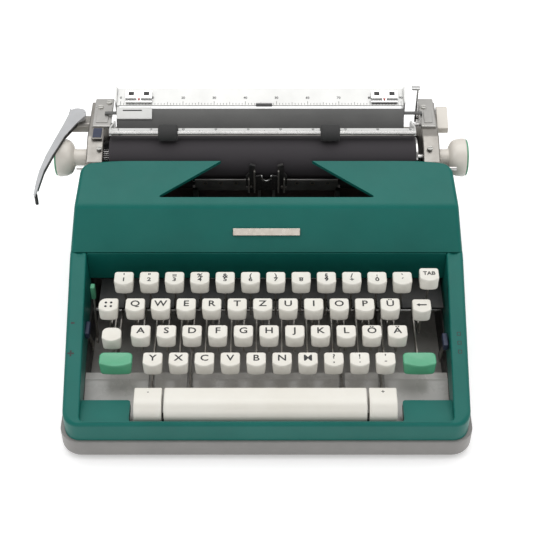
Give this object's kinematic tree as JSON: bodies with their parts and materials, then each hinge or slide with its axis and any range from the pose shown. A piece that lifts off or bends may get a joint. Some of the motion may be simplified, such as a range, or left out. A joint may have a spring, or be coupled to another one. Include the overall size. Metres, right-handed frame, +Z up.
{
  "type": "typewriter",
  "caption": "Portable manual typewriter with a low sloping shell, lifting ribbon cover, spring keys and a sliding carriage with platen, paper bail and return lever.",
  "frame": {"origin": "on the table under the middle of the outer box", "axes": "+Z up, -Y towards the typist, +X to the typist's right"},
  "size_m": [0.333, 0.3016, 0.148],
  "materials": {
    "base_grey": "hammered warm grey enamel",
    "feet_rubber": "matt",
    "screw_steel": "turned",
    "green_paint": "fine-grained semi-gloss teal green",
    "frame_steel": "satin black",
    "shaft_steel": "ground",
    "bar_grey": "satin grey",
    "guard_dark": "satin",
    "cup_brass": "satin",
    "ribbon_ink": "inked cotton",
    "guide_chrome": "polished",
    "card_steel": "satin",
    "badge_chrome": "polished",
    "cap_white": "warm white moulded",
    "cap_green": "mid green moulded",
    "lever_green": "mid green moulded",
    "lever_dark": "blue-black with bright edge",
    "type_steel": "satin",
    "spool_metal": "spun",
    "drum_brass": "satin",
    "carriage_silver": "cast and polished",
    "table_grey": "satin dark grey",
    "scale_silver": "satin",
    "platen_rubber": "ground rubber",
    "knob_beige": "beige moulded",
    "roller_rubber": "matt",
    "lever_chrome": "polished"
  },
  "bodies": {
    "frame": {"base_pan": "base_grey", "rubber_feet": "feet_rubber", "case_screws": "screw_steel", "body_shell": "green_paint", "chassis": "frame_steel", "cover_hinge_pins": "shaft_steel", "lever_shafts": "shaft_steel", "carriage_rails": "frame_steel", "stop_bar": "bar_grey", "key_guard_plate": "guard_dark", "spool_cups": "cup_brass", "ribbon": "ribbon_ink", "type_guide": "guide_chrome", "card_holders": "card_steel", "bell": "guide_chrome"},
    "cover": {"ribbon_cover": "green_paint", "name_badge": "badge_chrome"},
    "number_row": {"keys_number_row": "cap_white"},
    "upper_row": {"keys_upper_row": "cap_white"},
    "home_row": {"keys_home_row": "cap_white"},
    "bottom_row": {"keys_bottom_row": "cap_white"},
    "centre_key": {"centre_key": "cap_white"},
    "shift": {"shift_key_left": "cap_green", "shift_key_right": "cap_green"},
    "shift_lock": {"shift_lock_key": "cap_white"},
    "margin_release": {"margin_release_key": "cap_white"},
    "backspace": {"backspace_key": "cap_white"},
    "tabulator": {"tab_key": "cap_white"},
    "space_bar": {"space_bar": "cap_white"},
    "tab_clear": {"tab_clear_key": "cap_white"},
    "tab_set": {"tab_set_key": "cap_white"},
    "side_release": {"side_release_lever": "lever_green"},
    "touch": {"touch_lever": "lever_dark"},
    "ribbon_selector": {"ribbon_selector": "lever_dark"},
    "type_basket": {"type_segment": "type_steel", "type_bars": "type_steel"},
    "centre_type_bar": {"centre_type_bar": "type_steel"},
    "spool_left": {"ribbon_spool_left": "spool_metal"},
    "spool_right": {"ribbon_spool_right": "spool_metal"},
    "vibrator": {"ribbon_vibrator": "guide_chrome"},
    "mainspring_drum": {"mainspring_drum": "drum_brass"},
    "carriage": {"carriage_frame": "carriage_silver", "carriage_screws": "screw_steel", "paper_table": "table_grey", "margin_scale": "scale_silver"},
    "platen": {"platen_rubber": "platen_rubber", "platen_core": "shaft_steel", "knob_left": "knob_beige", "knob_right": "knob_beige"},
    "feed_rollers": {"feed_rollers": "roller_rubber"},
    "paper_bail": {"paper_bail": "lever_chrome"},
    "bail_roller_left": {"bail_roller_left": "roller_rubber"},
    "bail_roller_right": {"bail_roller_right": "roller_rubber"},
    "margin_stop_left": {"margin_stop_left": "lever_chrome"},
    "margin_stop_right": {"margin_stop_right": "lever_chrome"},
    "paper_guide": {"paper_guide": "scale_silver"},
    "return_lever": {"return_lever": "lever_chrome"},
    "line_space_selector": {"line_space_selector": "lever_dark"},
    "carriage_release": {"carriage_release_lever": "knob_beige"},
    "paper_release": {"paper_release_lever": "card_steel"}
  },
  "joints": [
    {"name": "cover_hinge", "type": "hinge", "parent": "frame", "child": "cover", "pos_m": [0.0075, 0.0393, 0.1193], "axis": [-1, 0, 0], "range_deg": [0, 40]},
    {"name": "number_row_press", "type": "hinge", "parent": "frame", "child": "number_row", "pos_m": [0.0075, 0.0761, 0.046], "axis": [1, 0, 0], "range_deg": [0, 5.6], "stiffness_Nm_per_rad": 6, "springref_deg": -5.73},
    {"name": "upper_row_press", "type": "hinge", "parent": "frame", "child": "upper_row", "pos_m": [0.0075, 0.0761, 0.046], "axis": [1, 0, 0], "range_deg": [0, 4.8], "stiffness_Nm_per_rad": 6, "springref_deg": -5.73},
    {"name": "home_row_press", "type": "hinge", "parent": "frame", "child": "home_row", "pos_m": [0.0075, 0.0761, 0.046], "axis": [1, 0, 0], "range_deg": [0, 4.3], "stiffness_Nm_per_rad": 6, "springref_deg": -5.73},
    {"name": "bottom_row_press", "type": "hinge", "parent": "frame", "child": "bottom_row", "pos_m": [0.0075, 0.0761, 0.046], "axis": [1, 0, 0], "range_deg": [0, 3.8], "stiffness_Nm_per_rad": 6, "springref_deg": -5.73},
    {"name": "centre_key_press", "type": "hinge", "parent": "frame", "child": "centre_key", "pos_m": [0.0075, 0.0761, 0.046], "axis": [1, 0, 0], "range_deg": [0, 4.3], "stiffness_Nm_per_rad": 0.8, "springref_deg": -5.73},
    {"name": "shift_press", "type": "hinge", "parent": "frame", "child": "shift", "pos_m": [0.0075, 0.0761, 0.046], "axis": [1, 0, 0], "range_deg": [0, 2.56], "stiffness_Nm_per_rad": 1.6, "springref_deg": -5.73},
    {"name": "shift_lock_press", "type": "hinge", "parent": "frame", "child": "shift_lock", "pos_m": [0.0075, 0.0761, 0.046], "axis": [1, 0, 0], "range_deg": [0, 1.3], "stiffness_Nm_per_rad": 0.8, "springref_deg": -5.73},
    {"name": "margin_release_press", "type": "hinge", "parent": "frame", "child": "margin_release", "pos_m": [0.0075, 0.0761, 0.046], "axis": [1, 0, 0], "range_deg": [0, 4.8], "stiffness_Nm_per_rad": 0.8, "springref_deg": -5.73},
    {"name": "backspace_press", "type": "hinge", "parent": "frame", "child": "backspace", "pos_m": [0.0075, 0.0761, 0.046], "axis": [1, 0, 0], "range_deg": [0, 4.8], "stiffness_Nm_per_rad": 0.8, "springref_deg": -5.73},
    {"name": "tabulator_press", "type": "hinge", "parent": "frame", "child": "tabulator", "pos_m": [0.0075, 0.0761, 0.046], "axis": [1, 0, 0], "range_deg": [0, 5.6], "stiffness_Nm_per_rad": 0.8, "springref_deg": -5.73},
    {"name": "space_bar_press", "type": "hinge", "parent": "frame", "child": "space_bar", "pos_m": [0.0075, -0.0239, 0.026], "axis": [1, 0, 0], "range_deg": [0, 3.1], "stiffness_Nm_per_rad": 1.6, "springref_deg": -5.73},
    {"name": "tab_clear_press", "type": "hinge", "parent": "frame", "child": "tab_clear", "pos_m": [0.0075, -0.0239, 0.026], "axis": [1, 0, 0], "range_deg": [0, 3.1], "stiffness_Nm_per_rad": 0.8, "springref_deg": -5.73},
    {"name": "tab_set_press", "type": "hinge", "parent": "frame", "child": "tab_set", "pos_m": [0.0075, -0.0239, 0.026], "axis": [1, 0, 0], "range_deg": [0, 3.1], "stiffness_Nm_per_rad": 0.8, "springref_deg": -5.73},
    {"name": "side_release_swing", "type": "hinge", "parent": "frame", "child": "side_release", "pos_m": [0.0075, -0.0529, 0.024], "axis": [1, 0, 0], "range_deg": [-8, 8]},
    {"name": "touch_swing", "type": "hinge", "parent": "frame", "child": "touch", "pos_m": [0.0075, -0.0569, 0.02], "axis": [1, 0, 0], "range_deg": [-10, 10]},
    {"name": "ribbon_selector_swing", "type": "hinge", "parent": "frame", "child": "ribbon_selector", "pos_m": [0.0075, -0.0689, 0.02], "axis": [1, 0, 0], "range_deg": [-10, 10]},
    {"name": "basket_shift", "type": "slide", "parent": "frame", "child": "type_basket", "axis": [0, 0, -1], "range_m": [0, 0.005], "stiffness_N_per_m": 800, "springref_m": -0.01},
    {"name": "type_bar_swing", "type": "hinge", "parent": "type_basket", "child": "centre_type_bar", "pos_m": [0.0075, 0.0351, 0.068], "axis": [-1, 0, 0], "range_deg": [0, 80]},
    {"name": "spool_left_spin", "type": "hinge", "parent": "frame", "child": "spool_left", "pos_m": [-0.0905, 0.0151, 0.09], "axis": [0, 0, 1], "continuous": true},
    {"name": "spool_right_spin", "type": "hinge", "parent": "frame", "child": "spool_right", "pos_m": [0.1055, 0.0151, 0.09], "axis": [0, 0, 1], "continuous": true},
    {"name": "vibrator_lift", "type": "slide", "parent": "frame", "child": "vibrator", "axis": [0, 0, 1], "range_m": [0, 0.01]},
    {"name": "carriage_slide", "type": "slide", "parent": "frame", "child": "carriage", "axis": [1, 0, 0], "range_m": [-0.105, 0.105]},
    {"name": "mainspring_spin", "type": "hinge", "parent": "frame", "child": "mainspring_drum", "pos_m": [-0.0925, 0.1091, 0.045], "axis": [0, 0, 1], "range_deg": [-385, 385]},
    {"name": "platen_spin", "type": "hinge", "parent": "carriage", "child": "platen", "pos_m": [0.0075, 0.0601, 0.113], "axis": [1, 0, 0], "continuous": true},
    {"name": "feed_spin", "type": "hinge", "parent": "carriage", "child": "feed_rollers", "pos_m": [0.0075, 0.0541, 0.09111], "axis": [1, 0, 0], "continuous": true},
    {"name": "bail_lift", "type": "hinge", "parent": "carriage", "child": "paper_bail", "pos_m": [0.0075, 0.0891, 0.123], "axis": [-1, 0, 0], "range_deg": [0, 40]},
    {"name": "bail_roller_left_spin", "type": "hinge", "parent": "paper_bail", "child": "bail_roller_left", "pos_m": [-0.0695, 0.061, 0.1372], "axis": [1, 0, 0], "continuous": true},
    {"name": "bail_roller_right_spin", "type": "hinge", "parent": "paper_bail", "child": "bail_roller_right", "pos_m": [0.0573, 0.061, 0.1372], "axis": [1, 0, 0], "continuous": true},
    {"name": "margin_stop_left_slide", "type": "slide", "parent": "carriage", "child": "margin_stop_left", "axis": [1, 0, 0], "range_m": [-0.004, 0.085]},
    {"name": "margin_stop_right_slide", "type": "slide", "parent": "carriage", "child": "margin_stop_right", "axis": [1, 0, 0], "range_m": [-0.085, 0.004]},
    {"name": "paper_guide_slide", "type": "slide", "parent": "carriage", "child": "paper_guide", "axis": [1, 0, 0], "range_m": [0, 0.08]},
    {"name": "return_lever_swing", "type": "hinge", "parent": "carriage", "child": "return_lever", "pos_m": [-0.144, 0.0911, 0.13], "axis": [0, 0, 1], "range_deg": [0, 30], "stiffness_Nm_per_rad": 0.4, "springref_deg": -5.73},
    {"name": "line_space_select", "type": "slide", "parent": "carriage", "child": "line_space_selector", "axis": [0, -1, 0], "range_m": [0, 0.006]},
    {"name": "carriage_release_press", "type": "hinge", "parent": "carriage", "child": "carriage_release", "pos_m": [0.1475, 0.0981, 0.112], "axis": [1, 0, 0], "range_deg": [0, 7], "stiffness_Nm_per_rad": 0.5, "springref_deg": -5.73},
    {"name": "paper_release_swing", "type": "hinge", "parent": "carriage", "child": "paper_release", "pos_m": [0.1295, 0.1071, 0.116], "axis": [1, 0, 0], "range_deg": [0, 25]}
  ],
  "couplings": [
    {"joint": "type_bar_swing", "follows": "centre_key_press", "ratio": 18.6},
    {"joint": "vibrator_lift", "follows": "centre_key_press", "m_per_rad": 0.133},
    {"joint": "basket_shift", "follows": "shift_press", "m_per_rad": 0.1115},
    {"joint": "spool_right_spin", "follows": "spool_left_spin", "ratio": 1},
    {"joint": "feed_spin", "follows": "platen_spin", "ratio": -3.46},
    {"joint": "mainspring_spin", "follows": "carriage_slide", "rad_per_m": 62.5}
  ]
}
